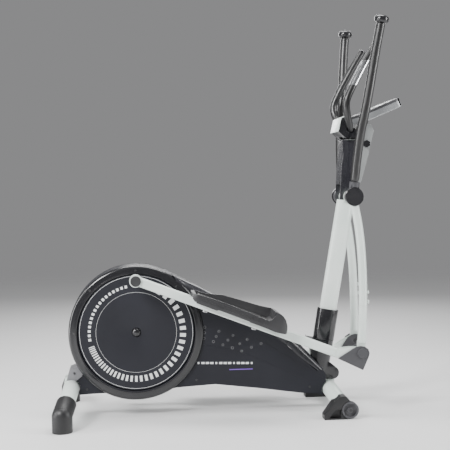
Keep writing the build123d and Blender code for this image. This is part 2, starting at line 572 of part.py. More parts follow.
# ---------------------------------------------------------------- mast head
clamp = flat([(872, 1117), (872, 1162), (918, 1162), (918, 1117)], -26, 26)
clamp = fillet(clamp.edges().filter_by(Axis.Y).sort_by(Axis.Z)[-2:], 12)
clamp -= sweep_round(bar_path, BAR_R)
save(clamp, "handlebar_clamp")
PRISM = [(836, 1146), (849, 1199), (860, 1204), (916, 1142), (910, 1122), (872, 1112)]
cover = flat(PRISM, -75, 75)
cover -= flat([(841, 1148), (853, 1196), (859, 1199), (912, 1141), (907, 1125), (874, 1116)], -72, 72)
cover -= sweep_round(bar_path, FOAM_R + 0.4)
cover -= block(869, 930, -80, 80, 1100, 1118)
cover -= clamp
cover -= block(840, 960, -30, 30, 1090, 1125)
cover = max(cover.solids(), key=lambda s: s.volume)
save(cover, "clamp_cover")
panel = flat([(832, 1145), (845.5, 1201), (859, 1207.5), (860, 1204.3), (848.6, 1199.4), (835.6, 1146)], -78, 78)
save(panel, "clamp_panel")

HEAD_HALF = 46
REAR = [(842, 866), (850, 1008), (860, 1071), (858, 1111), (925, 1111), (914, 960), (906, 866)]
REAR_IN = [(839, 860), (853, 1008), (863, 1071), (861, 1108), (990, 1108), (990, 860)]
rear_cover = flat(REAR, -HEAD_HALF, HEAD_HALF)
rear_cover = fillet(rear_cover.edges().filter_by(Axis.Y, reverse=True).sort_by(Axis.X)[:4], 8)
rear_cover -= flat(REAR_IN, -HEAD_HALF + 3, HEAD_HALF - 3)
rear_cover -= rod(PIVOT_X, PIVOT_Z, 27.3, -100, 100)
rear_cover -= mast_oval(830, 866, 37, 27)
rear_cover -= bar_between((PIVOT_X + 2, 0, PIVOT_Z), (918, 0, 1112), 22.4)
rear_cover -= block(889.6, 944.4, -30.4, 30.4, 1095.6, 1120)
save(rear_cover, "head_cover_rear")
FRONT = [(912, 906), (917, 960), (927, 1111), (927, 1176), (978, 1176), (990, 1150), (982, 1120), (964, 1041),
         (936, 943)]
FRONT_IN = [(860, 890), (870, 1173), (975, 1173), (986.5, 1150), (978.5, 1120), (960.5, 1041), (932.5, 943),
            (912, 910)]
front_cover = flat(FRONT, -HEAD_HALF, HEAD_HALF) - flat(FRONT_IN, -HEAD_HALF + 3, HEAD_HALF - 3)
front_cover -= rod(PIVOT_X, PIVOT_Z, 27.3, -100, 100)
front_cover -= bar_between((PIVOT_X + 2, 0, PIVOT_Z), (918, 0, 1112), 22.4)
front_cover -= block(900, 1010, -24.4, 24.4, 1150, 1200)
front_cover -= block(889.6, 944.4, -30.4, 30.4, 1095.6, 1120)
front_cover -= clamp
front_cover -= cover
front_cover -= flat(PRISM, -75.4, 75.4)
front_cover = max(front_cover.solids(), key=lambda s: s.volume)
save(front_cover, "head_cover_front")
star_knob = rod(956, 1095, 15, -62, -50) + rod(956, 1095, 7, -50, -46.4)
for k in range(6):
    a = math.radians(60 * k)
    star_knob -= rod(956 + 18 * math.cos(a), 1095 + 18 * math.sin(a), 5, -70, -50)
save(star_knob, "tilt_knob")

# ---------------------------------------------------------------- console
TILT = 22.6
CON_L = 172
CON_W = 262
CON_T = 38


def on_console(shape):
    """Console drawn flat: X up the display, Z out of its face, origin at the face's middle."""
    return Pos(998, 0, 1247) * Rot(0, -TILT, 0) * shape


back = Pos(0, 0, -CON_T / 2 - 6) * Box(CON_L, CON_W, CON_T - 12)
back = fillet(back.edges().filter_by(Axis.Z), 26)
back = fillet(back.edges().sort_by(Axis.Z)[:8], 5)
back -= Pos(0, 0, -CON_T / 2 - 3) * Box(CON_L - 8, CON_W - 8, CON_T - 15)
bezel = Pos(0, 0, -6) * Box(CON_L, CON_W, 11.6)
bezel = fillet(bezel.edges().filter_by(Axis.Z), 26)
bezel = fillet(bezel.edges().sort_by(Axis.Z)[-8:], 4)
bezel -= Pos(0, 0, -9) * Box(CON_L - 8, CON_W - 8, 12)
bezel -= Pos(22, 0, -2) * Box(92, 168, 12)
display = Pos(22, 0, -2.4) * Box(91.4, 167.4, 3.6)
BUTTONS = (-56, 0, 56)
for y in BUTTONS:
    bezel -= Pos(-56, y, 0) * Cylinder(10.4, 30)
save(on_console(back), "console_back")
save(on_console(bezel), "console_bezel")
save(on_console(display), "console_display")
for k, y in enumerate(BUTTONS):
    button = Pos(-56, y, -1.5) * Cylinder(10, 7)
    button = fillet(button.edges().sort_by(Axis.Z)[-1:], 1.5)
    save(on_console(button), "console_button_%d" % (k + 1))
stalk = flat([(921, 1116.5), (950, 1116.5), (968, 1176), (985, 1235), (940, 1235), (921, 1160)], -24, 24)
stalk -= on_console(back)
stalk -= on_console(Pos(0, 0, 30) * Box(400, 400, 130))
stalk = max(stalk.solids(), key=lambda s: s.volume)
save(stalk, "console_bracket")
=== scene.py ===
import json
import math

import bmesh
import bpy
from mathutils import Matrix, Vector

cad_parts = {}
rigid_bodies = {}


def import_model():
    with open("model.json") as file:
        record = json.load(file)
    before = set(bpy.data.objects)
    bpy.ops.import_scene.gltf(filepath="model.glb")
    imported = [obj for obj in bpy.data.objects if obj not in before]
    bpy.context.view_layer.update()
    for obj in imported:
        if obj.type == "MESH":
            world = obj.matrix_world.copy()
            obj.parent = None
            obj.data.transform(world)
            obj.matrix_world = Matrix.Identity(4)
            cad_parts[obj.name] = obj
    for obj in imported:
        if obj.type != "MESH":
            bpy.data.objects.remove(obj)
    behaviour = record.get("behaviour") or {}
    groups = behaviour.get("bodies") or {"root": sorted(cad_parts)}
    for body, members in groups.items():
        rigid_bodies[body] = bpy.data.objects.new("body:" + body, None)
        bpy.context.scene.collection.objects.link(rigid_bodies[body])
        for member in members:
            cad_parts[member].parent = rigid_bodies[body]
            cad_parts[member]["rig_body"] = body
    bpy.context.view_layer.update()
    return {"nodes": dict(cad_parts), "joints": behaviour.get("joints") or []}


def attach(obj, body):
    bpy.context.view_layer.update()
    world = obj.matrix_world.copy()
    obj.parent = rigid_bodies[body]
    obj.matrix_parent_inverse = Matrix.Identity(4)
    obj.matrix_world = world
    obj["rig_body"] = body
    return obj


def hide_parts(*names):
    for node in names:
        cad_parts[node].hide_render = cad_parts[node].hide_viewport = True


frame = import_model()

bl_info = {
    "name": "Elliptical Trainer Finish",
    "version": (1, 0, 0),
    "blender": (4, 5, 0),
    "location": "3D View > Sidebar > Trainer",
    "description": "Finishes the frame of an elliptical trainer: covers, discs, pedals, grips and console",
    "category": "Object",
}

NODES = frame["nodes"]
JOINTS = {joint["name"]: joint for joint in frame["joints"]}
CRANK = Vector(JOINTS["crank_turn"]["pos_m"])
SIDES = {"right": -1, "left": 1}


# ------------------------------------------------------------------ settings
class TrainerPaint(bpy.types.PropertyGroup):
    frame_white: bpy.props.FloatVectorProperty(
        name="Frame paint", description="Pearl powder coat of the tubes", subtype="COLOR",
        default=(0.80, 0.845, 0.815), min=0, max=1)
    frame_tint: bpy.props.FloatVectorProperty(
        name="Paint tint", description="Cooler tone that drifts through the powder coat", subtype="COLOR",
        default=(0.66, 0.745, 0.70), min=0, max=1)
    cover: bpy.props.FloatVectorProperty(
        name="Cover plastic", description="Anthracite of the drive cover and discs", subtype="COLOR",
        default=(0.013, 0.0135, 0.018), min=0, max=1)
    grey: bpy.props.FloatVectorProperty(
        name="Trim grey", description="Mid grey of the rear saddle cover", subtype="COLOR",
        default=(0.17, 0.17, 0.18), min=0, max=1)
    light_grey: bpy.props.FloatVectorProperty(
        name="Neck grey", description="Light grey of the front neck cover", subtype="COLOR",
        default=(0.24, 0.25, 0.25), min=0, max=1)
    joint_grey: bpy.props.FloatVectorProperty(
        name="Joint grey", description="Dark grey of the hinge covers", subtype="COLOR",
        default=(0.055, 0.055, 0.060), min=0, max=1)


class TrainerSizes(bpy.types.PropertyGroup):
    disc_radius: bpy.props.FloatProperty(
        name="Disc radius", description="Outer radius of the crank discs", default=0.234, unit="LENGTH")
    tick_count: bpy.props.IntProperty(
        name="Ticks", description="Painted ticks in the fading arc of each disc", default=38, min=3)
    tick_inner: bpy.props.FloatProperty(
        name="Tick start", description="Radius at which the ticks begin", default=0.1765, unit="LENGTH")
    tick_outer: bpy.props.FloatProperty(
        name="Tick end", description="Radius at which the ticks end", default=0.2005, unit="LENGTH")
    edge_round: bpy.props.FloatProperty(
        name="Moulding edge", description="Rounding of moulded plastic edges", default=0.0025, unit="LENGTH")
    rib_pitch: bpy.props.FloatProperty(
        name="Rib pitch", description="Distance between the ribs of the footbed mats", default=0.0125,
        unit="LENGTH")
    grip_bump: bpy.props.FloatProperty(
        name="Foam swell", description="How much the foam sleeves swell between their ends", default=0.0006,
        unit="LENGTH")


def paint():
    return bpy.context.scene.trainer_paint


def sizes():
    return bpy.context.scene.trainer_sizes


# ------------------------------------------------------------------ shader groups
def new_group(name, inputs, outputs):
    group = bpy.data.node_groups.new(name, "ShaderNodeTree")
    for label, kind, value in inputs:
        socket = group.interface.new_socket(label, in_out="INPUT", socket_type=kind)
        socket.default_value = value
    for label, kind in outputs:
        group.interface.new_socket(label, in_out="OUTPUT", socket_type=kind)
    return group, group.nodes.new("NodeGroupInput"), group.nodes.new("NodeGroupOutput")


def join(tree, *pairs):
    for a, b in pairs:
        tree.links.new(a, b)


def maths(tree, kind, a, b=None, clamp=False):
    node = tree.nodes.new("ShaderNodeMath")
    node.operation = kind
    node.use_clamp = clamp
    for socket, value in zip(node.inputs, (a, b)):
        if value is None:
            continue
        if isinstance(value, (int, float)):
            socket.default_value = value
        else:
            tree.links.new(value, socket)
    return node.outputs[0]


def noise(tree, vector, scale, detail=4, rough=0.55):
    node = tree.nodes.new("ShaderNodeTexNoise")
    node.inputs["Detail"].default_value = detail
    node.inputs["Roughness"].default_value = rough
    if isinstance(scale, (int, float)):
        node.inputs["Scale"].default_value = scale
    else:
        tree.links.new(scale, node.inputs["Scale"])
    tree.links.new(vector, node.inputs["Vector"])
    return node.outputs["Fac"]


def ramp(tree, value, low, high):
    node = tree.nodes.new("ShaderNodeMapRange")
    node.inputs["From Min"].default_value = low
    node.inputs["From Max"].default_value = high
    tree.links.new(value, node.inputs["Value"])
    return node.outputs["Result"]


def edge_wear_group():
    """Mask of rubbed edges, broken up by noise."""
    group, given, made = new_group(
        "Rubbed Edges",
        [("Width", "NodeSocketFloat", 0.002), ("Break Up", "NodeSocketFloat", 60.0),
         ("Amount", "NodeSocketFloat", 0.5)],
        [("Mask", "NodeSocketFloat")])
    bevel = group.nodes.new("ShaderNodeBevel")
    bevel.samples = 4
    geo = group.nodes.new("ShaderNodeNewGeometry")
    dot = group.nodes.new("ShaderNodeVectorMath")
    dot.operation = "DOT_PRODUCT"
    coords = group.nodes.new("ShaderNodeTexCoord")
    join(group, (given.outputs["Width"], bevel.inputs["Radius"]), (bevel.outputs["Normal"], dot.inputs[0]),
         (geo.outputs["Normal"], dot.inputs[1]))
    edge = ramp(group, maths(group, "SUBTRACT", 1.0, dot.outputs["Value"]), 0.02, 0.16)
    spots = ramp(group, noise(group, coords.outputs["Object"], given.outputs["Break Up"], 6, 0.7), 0.46, 0.62)
    mask = maths(group, "MULTIPLY", maths(group, "MULTIPLY", edge, spots), given.outputs["Amount"], True)
    join(group, (mask, made.inputs["Mask"]))
    return group


def grain_group():
    """Moulded or sprayed surface grain: a fine height, and a slow drift of tone."""
    group, given, made = new_group(
        "Surface Grain",
        [("Scale", "NodeSocketFloat", 900.0), ("Drift Scale", "NodeSocketFloat", 5.0)],
        [("Height", "NodeSocketFloat"), ("Drift", "NodeSocketFloat"), ("Smudge", "NodeSocketFloat")])
    coords = group.nodes.new("ShaderNodeTexCoord")
    fine = noise(group, coords.outputs["Object"], given.outputs["Scale"], 3, 0.6)
    slow = ramp(group, noise(group, coords.outputs["Object"], given.outputs["Drift Scale"], 3, 0.5), 0.3, 0.7)
    smudge = ramp(group, noise(group, coords.outputs["Object"],
                               maths(group, "MULTIPLY", given.outputs["Drift Scale"], 4.7),
                               5, 0.65), 0.42, 0.72)
    join(group, (fine, made.inputs["Height"]), (slow, made.inputs["Drift"]), (smudge, made.inputs["Smudge"]))
    return group


def dust_group():
    """Mask of light dust that lies on upward faces."""
    group, given, made = new_group(
        "Settled Dust", [("Amount", "NodeSocketFloat", 0.2), ("Scale", "NodeSocketFloat", 22.0)],
        [("Mask", "NodeSocketFloat")])
    geo = group.nodes.new("ShaderNodeNewGeometry")
    split = group.nodes.new("ShaderNodeSeparateXYZ")
    coords = group.nodes.new("ShaderNodeTexCoord")
    join(group, (geo.outputs["Normal"], split.inputs[0]))
    up = ramp(group, split.outputs["Z"], 0.55, 1.0)
    cloud = ramp(group, noise(group, coords.outputs["Object"], given.outputs["Scale"], 6, 0.65), 0.38, 0.7)
    mask = maths(group, "MULTIPLY", maths(group, "MULTIPLY", up, cloud), given.outputs["Amount"], True)
    join(group, (mask, made.inputs["Mask"]))
    return group


GROUPS = {}
FINISHES = {}


def mix_colour(tree, mask, a, b):
    node = tree.nodes.new("ShaderNodeMix")
    node.data_type = "RGBA"
    tree.links.new(mask, node.inputs["Factor"])
    for socket, value in ((node.inputs[6], a), (node.inputs[7], b)):
        if isinstance(value, bpy.types.NodeSocket):
            tree.links.new(value, socket)
        else:
            socket.default_value = (*value, 1)
    return node.outputs[2]


def finish(name, base, second, rough=0.4, metallic=0.0, grain=900.0, bump=0.15, drift=5.0, wear=None,
           wear_width=0.0015,
           wear_amount=0.5, dust=0.15, coat=0.0, smudge=0.12, specular=0.5, height_node=None,
           metal_wear=False):
    """A finish with drifting tone, grain, rubbed edges, dust and uneven gloss."""
    mat = bpy.data.materials.new(name)
    mat.use_nodes = True
    tree = mat.node_tree
    shader = tree.nodes["Principled BSDF"]
    surface = tree.nodes.new("ShaderNodeGroup")
    surface.node_tree = GROUPS["grain"]
    surface.inputs["Scale"].default_value = grain
    surface.inputs["Drift Scale"].default_value = drift
    colour = mix_colour(tree, surface.outputs["Drift"], base, second)
    settled = tree.nodes.new("ShaderNodeGroup")
    settled.node_tree = GROUPS["dust"]
    settled.inputs["Amount"].default_value = dust
    colour = mix_colour(tree, settled.outputs["Mask"], colour, (0.42, 0.41, 0.39))
    gloss = maths(tree, "ADD", maths(tree, "MULTIPLY", surface.outputs["Smudge"], smudge), rough)
    gloss = maths(tree, "ADD", gloss, maths(tree, "MULTIPLY", settled.outputs["Mask"], 0.4), True)
    if wear is not None:
        rubbed = tree.nodes.new("ShaderNodeGroup")
        rubbed.node_tree = GROUPS["wear"]
        rubbed.inputs["Width"].default_value = wear_width
        rubbed.inputs["Amount"].default_value = wear_amount
        colour = mix_colour(tree, rubbed.outputs["Mask"], colour, wear)
        if metal_wear:
            tree.links.new(rubbed.outputs["Mask"], shader.inputs["Metallic"])
    tree.links.new(colour, shader.inputs["Base Color"])
    tree.links.new(gloss, shader.inputs["Roughness"])
    if not metal_wear:
        shader.inputs["Metallic"].default_value = metallic
    shader.inputs["Coat Weight"].default_value = coat
    shader.inputs["Coat Roughness"].default_value = 0.08
    shader.inputs["Specular IOR Level"].default_value = specular
    relief = tree.nodes.new("ShaderNodeBump")
    relief.inputs["Strength"].default_value = bump
    relief.inputs["Distance"].default_value = 0.0004
    join(tree, (surface.outputs["Height"], relief.inputs["Height"]),
         (relief.outputs["Normal"], shader.inputs["Normal"]))
    FINISHES[name] = mat
    return mat


def make_finishes():
    p = paint()
    GROUPS["wear"] = edge_wear_group()
    GROUPS["grain"] = grain_group()
    GROUPS["dust"] = dust_group()
    finish("Pearl Powder Coat", p.frame_white, p.frame_tint, rough=0.30, grain=520, bump=0.10, drift=3.2,
           wear=(0.55, 0.56, 0.55), wear_amount=0.35, coat=0.35, smudge=0.10)
    finish("Anthracite Cover", p.cover, tuple(c * 1.35 for c in p.cover), rough=0.42, grain=1400, bump=0.10,
           wear=(0.07, 0.07, 0.075), wear_amount=0.3, dust=0.03, smudge=0.10, specular=0.28)
    finish("Gloss Rim Plastic", (0.008, 0.008, 0.010), (0.013, 0.013, 0.015), rough=0.20, grain=700,
           bump=0.02,
           wear=(0.05, 0.05, 0.055), wear_amount=0.06, dust=0.01, coat=0.35, smudge=0.04)
    finish("Satin Shroud", (0.016, 0.016, 0.020), (0.022, 0.022, 0.027), rough=0.26, grain=1100, bump=0.03,
           wear=(0.05, 0.05, 0.055), wear_amount=0.04, dust=0.01, coat=0.25, smudge=0.05)
    # This grey also colours the vent lips, as a painted highlight of their lit edges.
    finish("Saddle Grey and Vent Highlight", p.grey, tuple(c * 1.15 for c in p.grey), rough=0.38, grain=1300, bump=0.12,
           wear=(0.34, 0.35, 0.36), dust=0.10)
    finish("Neck Grey Plastic", p.light_grey, tuple(c * 0.9 for c in p.light_grey), rough=0.40, grain=1300,
           bump=0.10,
           wear=(0.6, 0.6, 0.6), dust=0.10)
    finish("Joint Cover Plastic", p.joint_grey, tuple(c * 1.25 for c in p.joint_grey), rough=0.40, grain=1200,
           bump=0.14, wear=(0.2, 0.2, 0.21), dust=0.06, specular=0.4)
    finish("Console Plastic", (0.05, 0.05, 0.055), (0.07, 0.07, 0.075), rough=0.34, grain=1200, bump=0.08,
           wear=(0.2, 0.2, 0.2), dust=0.08)
    finish("Console Silver", (0.30, 0.31, 0.32), (0.36, 0.37, 0.38), rough=0.32, grain=1500, bump=0.06,
           metallic=0.35,
           wear=(0.5, 0.5, 0.5), dust=0.08)
    finish("Grip Foam", (0.006, 0.006, 0.0065), (0.010, 0.010, 0.0105), rough=0.36, grain=1500, bump=0.40,
           drift=9,
           dust=0.03, smudge=0.14, specular=0.7, coat=0.25)
    finish("Sole Rubber", (0.009, 0.009, 0.010), (0.014, 0.014, 0.015), rough=0.42, grain=800, bump=0.25,
           drift=12,
           wear=(0.04, 0.04, 0.04), dust=0.05, smudge=0.12)
    finish("Pedal Plastic", (0.022, 0.022, 0.024), (0.034, 0.034, 0.036), rough=0.40, grain=900, bump=0.22,
           drift=8,
           wear=(0.16, 0.16, 0.165), wear_amount=0.6, dust=0.10)
    finish("Zinc Steel", (0.52, 0.52, 0.54), (0.62, 0.61, 0.60), rough=0.28, metallic=1.0, grain=400,
           bump=0.10,
           drift=14, wear=(0.8, 0.8, 0.8), dust=0.08)
    finish("Polished Sensor", (0.66, 0.67, 0.69), (0.74, 0.75, 0.77), rough=0.14, metallic=1.0, grain=500,
           bump=0.05,
           drift=16, dust=0.03)
    finish("Black Steel", (0.018, 0.018, 0.02), (0.03, 0.03, 0.032), rough=0.34, grain=600, bump=0.15,
           wear=(0.45, 0.44, 0.43), wear_amount=0.5, dust=0.12, metal_wear=True)
    finish("Turned Iron", (0.16, 0.16, 0.17), (0.22, 0.22, 0.225), rough=0.38, metallic=0.9, grain=300,
           bump=0.2,
           drift=10, wear=(0.5, 0.5, 0.5), dust=0.1)
    finish("Marking White", (0.70, 0.71, 0.71), (0.78, 0.79, 0.79), rough=0.40, grain=1100, bump=0.06,
           drift=18,
           dust=0.04)
    finish("Violet Mark", (0.16, 0.07, 0.42), (0.20, 0.09, 0.48), rough=0.40, grain=1100, bump=0.06, drift=18,
           dust=0.04)
    finish("Screen Glass", (0.012, 0.016, 0.018), (0.02, 0.026, 0.028), rough=0.08, grain=200, bump=0.01,
           coat=0.8,
           dust=0.06, smudge=0.10)
    finish("Screen Segment", (0.16, 0.20, 0.19), (0.20, 0.25, 0.23), rough=0.30, grain=900, bump=0.03,
           dust=0.02)


# ------------------------------------------------------------------ mesh helpers
def object_from(name, mesh, material):
    obj = bpy.data.objects.new(name, mesh)
    bpy.context.scene.collection.objects.link(obj)
    if material is not None:
        mesh.materials.clear()
        mesh.materials.append(FINISHES[material])
    return obj


def mesh_from(name, bm, material, smooth=True, angle=40):
    bmesh.ops.remove_doubles(bm, verts=bm.verts, dist=1e-6)
    bmesh.ops.recalc_face_normals(bm, faces=bm.faces)
    mesh = bpy.data.meshes.new(name)
    bm.to_mesh(mesh)
    bm.free()
    obj = object_from(name, mesh, material)
    if smooth:
        shade(obj, angle)
    return obj


def shade(obj, angle=40):
    """Smooth faces, with creases where they meet at more than the angle."""
    mesh = obj.data
    for face in mesh.polygons:
        face.use_smooth = True
    mesh.set_sharp_from_angle(angle=math.radians(angle))


def apply_modifiers(obj):
    """Replaces the object's mesh by its evaluated one."""
    graph = bpy.context.evaluated_depsgraph_get()
    baked = bpy.data.meshes.new_from_object(obj.evaluated_get(graph), depsgraph=graph)
    old = obj.data
    obj.modifiers.clear()
    obj.data = baked
    bpy.data.meshes.remove(old)
    return obj


def merged_copy(node, name, material, join_flats=True):
    """A welded copy of a frame node, for finishing in place of it."""
    bm = bmesh.new()
    bm.from_mesh(NODES[node].data)
    bmesh.ops.remove_doubles(bm, verts=bm.verts, dist=2e-5)
    if join_flats:
        bmesh.ops.dissolve_limit(bm, angle_limit=math.radians(0.05), verts=bm.verts, edges=bm.edges)
    mesh = bpy.data.meshes.new(name)
    bm.to_mesh(mesh)
    bm.free()
    return object_from(name, mesh, material)


def rounded(node, name, material, width, segments=3, angle=35):
    """Stands in for a frame node with its sharp edges rounded over."""
    obj = merged_copy(node, name, material)
    bevel = obj.modifiers.new("Rounding", "BEVEL")
    bevel.width = width
    bevel.segments = segments
    bevel.limit_method = "ANGLE"
    bevel.angle_limit = math.radians(angle)
    bevel.use_clamp_overlap = True
    bevel.harden_normals = False
    apply_modifiers(obj)
    shade(obj, 50)
    body = NODES[node]["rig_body"]
    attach(obj, body)
    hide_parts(node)
    return obj


def second_finish(obj, material, chosen):
    """Gives another finish to the faces whose centre is chosen."""
    obj.data.materials.append(FINISHES[material])
    for face in obj.data.polygons:
        if chosen(face.center):
            face.material_index = 1


def repaint(material, *names):
    for name in names:
        mesh = NODES[name].data
        mesh.materials.clear()
        mesh.materials.append(FINISHES[material])


def lathe(bm, profile, centre, side, steps=96):
    """Turns a profile of (radius, |y|) about an axis along Y through the centre."""
    rings = []
    for r, y in profile:
        ring = []
        for k in range(steps):
            a = 2 * math.pi * k / steps
            ring.append(bm.verts.new((centre[0] + r * math.cos(a), side * y, centre[2] + r * math.sin(a))))
        rings.append(ring)
    for low, high in zip(rings, rings[1:]):
        for k in range(steps):
            n = (k + 1) % steps
            bm.faces.new((low[k], low[n], high[n], high[k]))
    return rings


def closed_lathe(bm, profile, centre, side, steps=96):
    rings = lathe(bm, profile, centre, side, steps)
    first, last = rings[0], rings[-1]
    for k in range(steps):
        n = (k + 1) % steps
        bm.faces.new((last[k], last[n], first[n], first[k]))


def sleeve(bm, points, radius_at, segments=24, cap=True):
    """A round sleeve along points, with a radius that may change along it."""
    rings = []
    up = Vector((0, 1, 0))
    for i, p in enumerate(points):
        a = points[max(i - 1, 0)]
        b = points[min(i + 1, len(points) - 1)]
        along = (b - a).normalized()
        across = along.cross(up).normalized()
        over = across.cross(along).normalized()
        r = radius_at(i / (len(points) - 1))
        rings.append([bm.verts.new(p + r * (math.cos(t) * across + math.sin(t) * over))
                      for t in (2 * math.pi * k / segments for k in range(segments))])
    for low, high in zip(rings, rings[1:]):
        for k in range(segments):
            n = (k + 1) % segments
            bm.faces.new((low[k], low[n], high[n], high[k]))
    if cap:
        bm.faces.new(rings[0])
        bm.faces.new(rings[-1])


def slab(bm, centre, size):
    """A box with its edges along the axes."""
    made = bmesh.ops.create_cube(bm, size=1.0)
    bmesh.ops.scale(bm, vec=size, verts=made["verts"])
    bmesh.ops.translate(bm, vec=centre, verts=made["verts"])


def curve_points(controls, count):
    """Even points on a smooth curve through the controls."""
    pts = [2 * controls[0] - controls[1]] + list(controls) + [2 * controls[-1] - controls[-2]]
    fine = []
    for i in range(1, len(pts) - 2):
        p0, p1, p2, p3 = pts[i - 1:i + 3]
        for k in range(24):
            t = k / 24
            fine.append(0.5 * ((2 * p1) + (p2 - p0) * t + (2 * p0 - 5 * p1 + 4 * p2 - p3) * t * t
                               + (3 * p1 - p0 - 3 * p2 + p3) * t ** 3))
    fine.append(pts[-2])
    lengths = [0.0]
    for a, b in zip(fine, fine[1:]):
        lengths.append(lengths[-1] + (b - a).length)
    out = []
    j = 0
    for k in range(count):
        want = lengths[-1] * k / (count - 1)
        while j < len(lengths) - 2 and lengths[j + 1] < want:
            j += 1
        span = max(lengths[j + 1] - lengths[j], 1e-9)
        out.append(fine[j].lerp(fine[j + 1], (want - lengths[j]) / span))
    return out


# ------------------------------------------------------------------ places on the machine
def at(x, y, z):
    """A point drawn in millimetres from the floor under the crank axle."""
    return Vector((CRANK.x + x / 1000, y / 1000, z / 1000))


PIVOT = at(886, 0, 879)


def on_lever(side, x, y, z):
    """A point of the right lever, or its twin on the left lever, which stands at another angle."""
    p = at(x, -abs(y), z)
    if side == "right":
        return p
    rest = [Vector(JOINTS[name + "_arm_hinge"]["pos_m"]) - PIVOT for name in ("right", "left")]
    turn = math.atan2(rest[1].x, -rest[1].z) - math.atan2(rest[0].x, -rest[0].z)
    spun = Matrix.Rotation(-turn, 4, "Y") @ (p - PIVOT) + PIVOT
    return Vector((spun.x, -spun.y, spun.z))


def arm_matrix(side):
    """From a pedal arm's own lengths (pin at zero, X to the front hinge) to the machine, in metres."""
    drop = 0.216 if side == "right" else -0.216
    pin = Vector((CRANK.x, 0, CRANK.z + drop))
    tip = Vector(JOINTS[side + "_arm_hinge"]["pos_m"])
    tilt = math.atan2(tip.z - pin.z, tip.x - pin.x)
    flip = Matrix.Scale(-1, 4, (0, 1, 0)) if side == "left" else Matrix.Identity(4)
    return Matrix.Translation(pin) @ Matrix.Rotation(-tilt, 4, "Y") @ flip


HANDLE_LINE = [(890, 122, 944), (892, 127, 965), (898, 140, 1040), (909, 160, 1140), (925, 178, 1230),
               (939, 190, 1317),
               (951, 200, 1396), (963, 211, 1475), (978, 222, 1562)]
BAR_LINE = [(884, 78, 1160), (863, 118, 1215), (858, 131, 1262), (878, 129, 1312), (912, 124, 1376),
            (946, 119, 1436),
            (980, 115, 1492)]
CONSOLE_TILT = math.radians(22.6)


def console_matrix():
    return Matrix.Translation(at(998, 0, 1247)) @ Matrix.Rotation(-CONSOLE_TILT, 4, "Y")


# ------------------------------------------------------------------ geometry node trees
def node_tree(name, inputs):
    tree = bpy.data.node_groups.new(name, "GeometryNodeTree")
    tree.interface.new_socket("Geometry", in_out="INPUT", socket_type="NodeSocketGeometry")
    for label, kind, value in inputs:
        socket = tree.interface.new_socket(label, in_out="INPUT", socket_type=kind)
        if value is not None:
            socket.default_value = value
    tree.interface.new_socket("Geometry", in_out="OUTPUT", socket_type="NodeSocketGeometry")
    return tree, tree.nodes.new("NodeGroupInput"), tree.nodes.new("NodeGroupOutput")


def close_tree(tree, geometry, given, made):
    real = tree.nodes.new("GeometryNodeRealizeInstances")
    coat = tree.nodes.new("GeometryNodeSetMaterial")
    join(tree, (geometry, real.inputs[0]), (real.outputs[0], coat.inputs["Geometry"]),
         (given.outputs["Material"], coat.inputs["Material"]), (coat.outputs[0], made.inputs[0]))


def tick_tree():
    """Blocks on an arc that get thinner, and closer if asked, from its start to its end."""
    tree, given, made = node_tree("Fading Ticks", [
        ("Count", "NodeSocketInt", 30), ("Start", "NodeSocketFloat", 1.0), ("Sweep", "NodeSocketFloat", -3.9),
        ("Inner", "NodeSocketFloat", 0.176), ("Outer", "NodeSocketFloat", 0.198),
        ("Wide", "NodeSocketFloat", 0.0175),
        ("Narrow", "NodeSocketFloat", 0.003), ("Closing", "NodeSocketFloat", 0.0),
        ("Thick", "NodeSocketFloat", 0.0006), ("Material", "NodeSocketMaterial", None)])
    line = tree.nodes.new("GeometryNodeMeshLine")
    index = tree.nodes.new("GeometryNodeInputIndex")
    share = maths(tree, "DIVIDE", index.outputs[0], maths(tree, "SUBTRACT", given.outputs["Count"], 1))
    bend = maths(tree, "MULTIPLY", given.outputs["Closing"], maths(tree, "SUBTRACT", 1.0, share))
    eased = maths(tree, "MULTIPLY", share, maths(tree, "ADD", 1.0, bend))
    angle = maths(tree, "ADD", given.outputs["Start"], maths(tree, "MULTIPLY", given.outputs["Sweep"], eased))
    middle = maths(tree, "MULTIPLY", maths(tree, "ADD", given.outputs["Inner"], given.outputs["Outer"]), 0.5)
    long = maths(tree, "SUBTRACT", given.outputs["Outer"], given.outputs["Inner"])
    spot = tree.nodes.new("ShaderNodeCombineXYZ")
    place = tree.nodes.new("GeometryNodeSetPosition")
    join(tree, (given.outputs["Count"], line.inputs["Count"]), (line.outputs[0], place.inputs["Geometry"]),
         (maths(tree, "MULTIPLY", middle, maths(tree, "COSINE", angle)), spot.inputs["X"]),
         (maths(tree, "MULTIPLY", middle, maths(tree, "SINE", angle)), spot.inputs["Z"]),
         (spot.outputs[0], place.inputs["Position"]))
    block = tree.nodes.new("GeometryNodeMeshCube")
    lay = tree.nodes.new("GeometryNodeInstanceOnPoints")
    turn = tree.nodes.new("ShaderNodeCombineXYZ")
    grow = tree.nodes.new("ShaderNodeCombineXYZ")
    thin = maths(tree, "SUBTRACT", given.outputs["Narrow"], given.outputs["Wide"])
    width = maths(tree, "ADD", given.outputs["Wide"], maths(tree, "MULTIPLY", thin, share))
    join(tree, (maths(tree, "MULTIPLY", angle, -1.0), turn.inputs["Y"]), (long, grow.inputs["X"]),
         (given.outputs["Thick"], grow.inputs["Y"]), (width, grow.inputs["Z"]),
         (place.outputs[0], lay.inputs["Points"]),
         (block.outputs["Mesh"], lay.inputs["Instance"]), (turn.outputs[0], lay.inputs["Rotation"]),
         (grow.outputs[0], lay.inputs["Scale"]))
    close_tree(tree, lay.outputs[0], given, made)
    return tree


